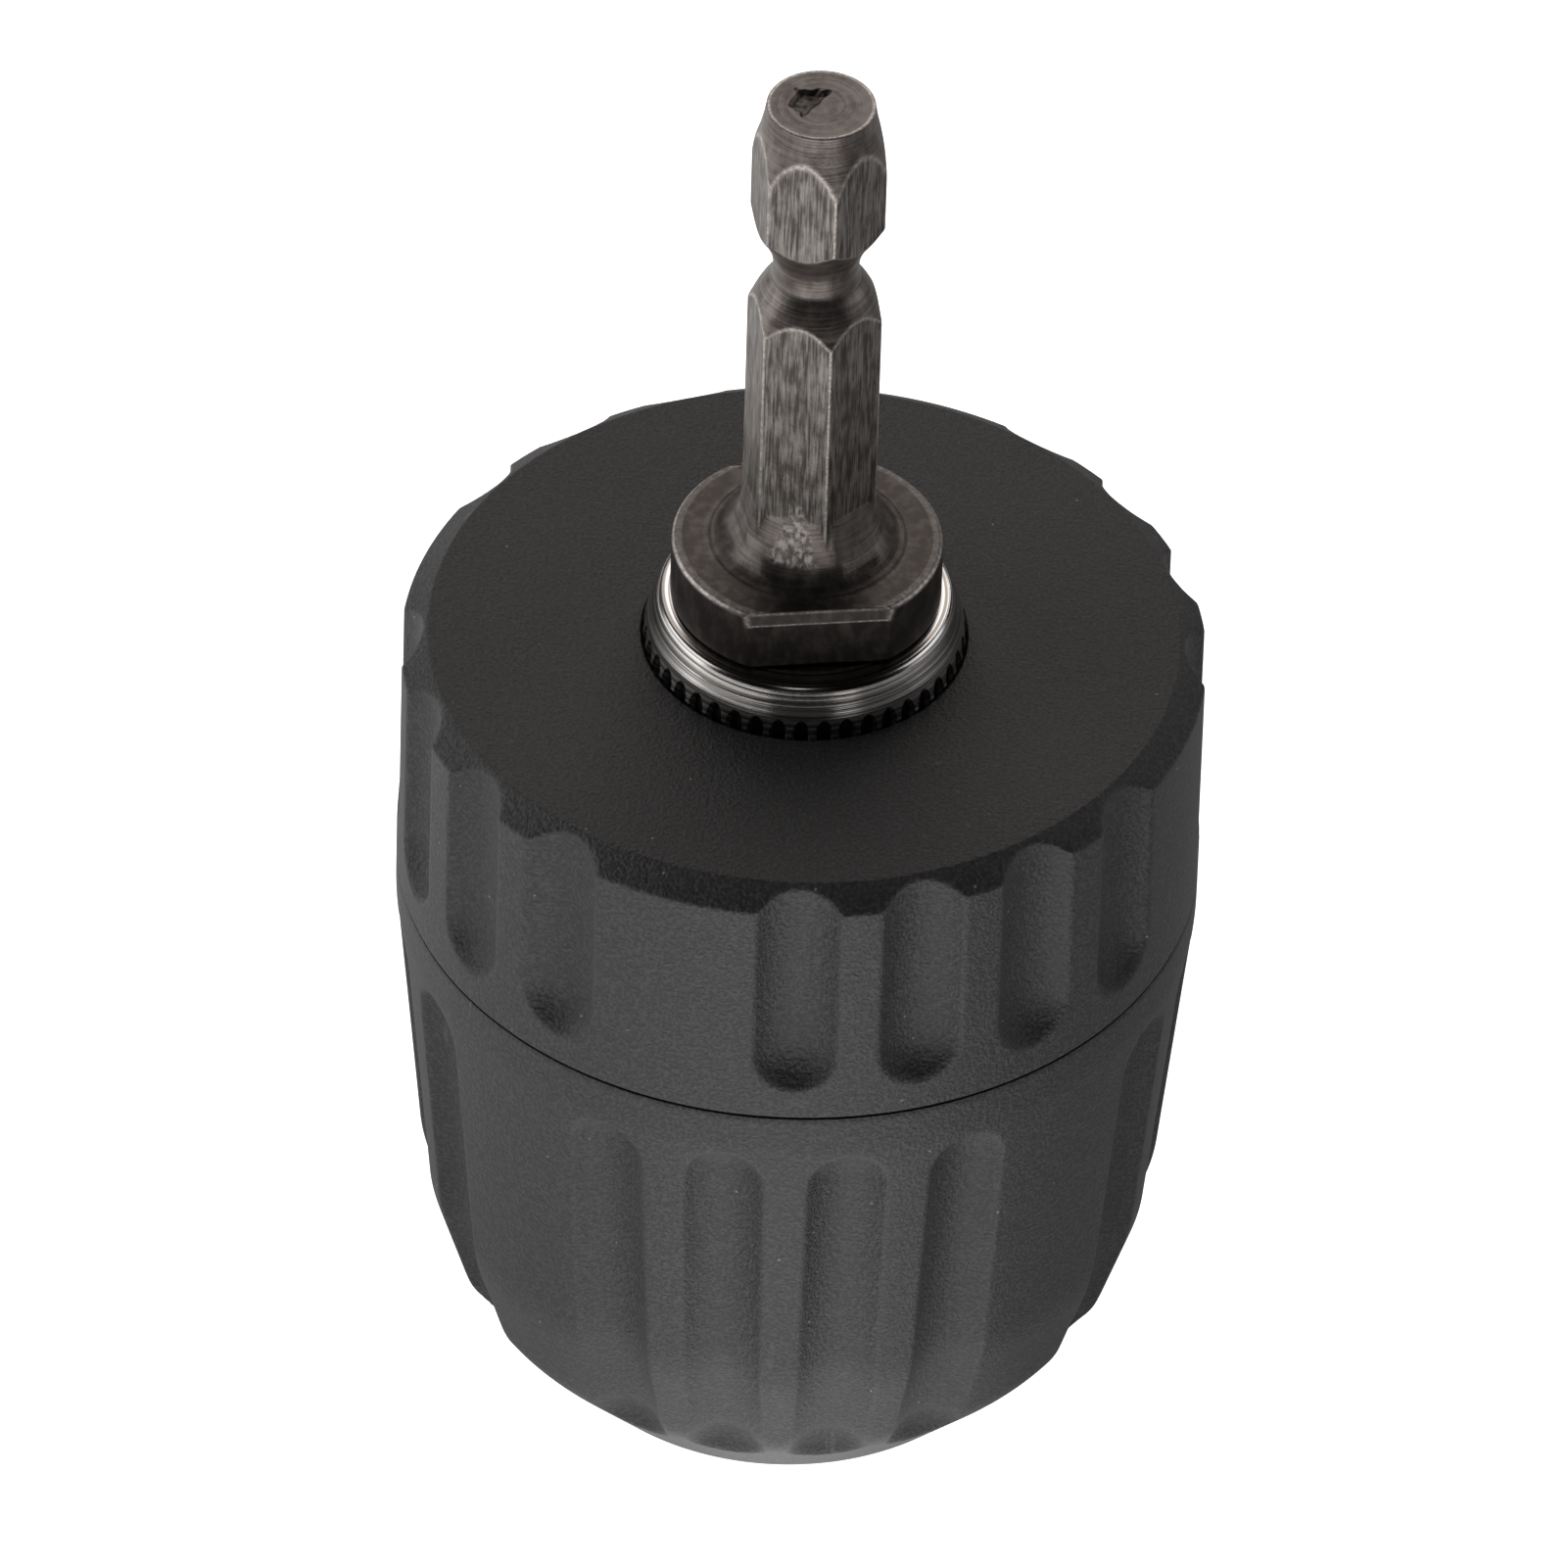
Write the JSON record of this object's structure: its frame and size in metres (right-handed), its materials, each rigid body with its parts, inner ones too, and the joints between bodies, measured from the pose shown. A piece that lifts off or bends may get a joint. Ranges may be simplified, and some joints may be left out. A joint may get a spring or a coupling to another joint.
{
  "type": "keyless drill chuck",
  "caption": "Keyless drill chuck with a black fluted turning sleeve and rear sleeve, three self-centring jaws, and a quarter-inch hex shank adapter.",
  "frame": {"origin": "centre of the front sleeve's rim, on the plane that the chuck stands on", "axes": "+Z along the chuck's axis towards the hex shank, -Y towards the front flutes"},
  "size_m": [0.0428, 0.0428, 0.0844],
  "materials": {
    "sleeve_plastic": "fine moulded matte texture",
    "turned_steel": "bright turned steel with fine tool lines",
    "shank_steel": "dark oiled steel, worn bright on the edges and flats",
    "black_steel": "black oxide",
    "plain_steel": "ground steel",
    "bearing_steel": "polished bearing steel",
    "cage_brass": "stamped brass"
  },
  "bodies": {
    "root": {"chuck_body": "turned_steel", "rear_sleeve": "sleeve_plastic", "hex_adapter": "shank_steel", "retaining_screw": "black_steel", "nose_ring": "plain_steel", "race_rear": "bearing_steel"},
    "turning_sleeve": {"front_sleeve": "sleeve_plastic", "nut_half_a": "plain_steel", "nut_half_b": "plain_steel", "nut_band": "plain_steel", "race_front": "bearing_steel"},
    "bearing_cage": {"ball_cage": "cage_brass", "ball_01": "bearing_steel", "ball_02": "bearing_steel", "ball_03": "bearing_steel", "ball_04": "bearing_steel", "ball_05": "bearing_steel", "ball_06": "bearing_steel", "ball_07": "bearing_steel", "ball_08": "bearing_steel", "ball_09": "bearing_steel", "ball_10": "bearing_steel", "ball_11": "bearing_steel", "ball_12": "bearing_steel", "ball_13": "bearing_steel", "ball_14": "bearing_steel", "ball_15": "bearing_steel", "ball_16": "bearing_steel"},
    "jaw_1": {"jaw_1": "black_steel"},
    "jaw_2": {"jaw_2": "black_steel"},
    "jaw_3": {"jaw_3": "black_steel"}
  },
  "joints": [
    {"name": "sleeve_turn", "type": "hinge", "parent": "root", "child": "turning_sleeve", "pos_m": [0, 0, 0.015], "axis": [0, 0, 1], "range_deg": [0, 3825]},
    {"name": "cage_turn", "type": "hinge", "parent": "root", "child": "bearing_cage", "pos_m": [0, 0, 0.0191], "axis": [0, 0, 1], "range_deg": [0, 1913.5]},
    {"name": "jaw_1_slide", "type": "slide", "parent": "root", "child": "jaw_1", "axis": [-0.2588, 0, -0.9659], "range_m": [0, 0.0213]},
    {"name": "jaw_2_slide", "type": "slide", "parent": "root", "child": "jaw_2", "axis": [0.1294, -0.2241, -0.9659], "range_m": [0, 0.0213]},
    {"name": "jaw_3_slide", "type": "slide", "parent": "root", "child": "jaw_3", "axis": [0.1294, 0.2241, -0.9659], "range_m": [0, 0.0213]}
  ],
  "couplings": [
    {"joint": "cage_turn", "follows": "sleeve_turn", "ratio": 0.5},
    {"joint": "jaw_1_slide", "follows": "sleeve_turn", "m_per_rad": 0.00031831},
    {"joint": "jaw_2_slide", "follows": "sleeve_turn", "m_per_rad": 0.00031831},
    {"joint": "jaw_3_slide", "follows": "sleeve_turn", "m_per_rad": 0.00031831}
  ]
}
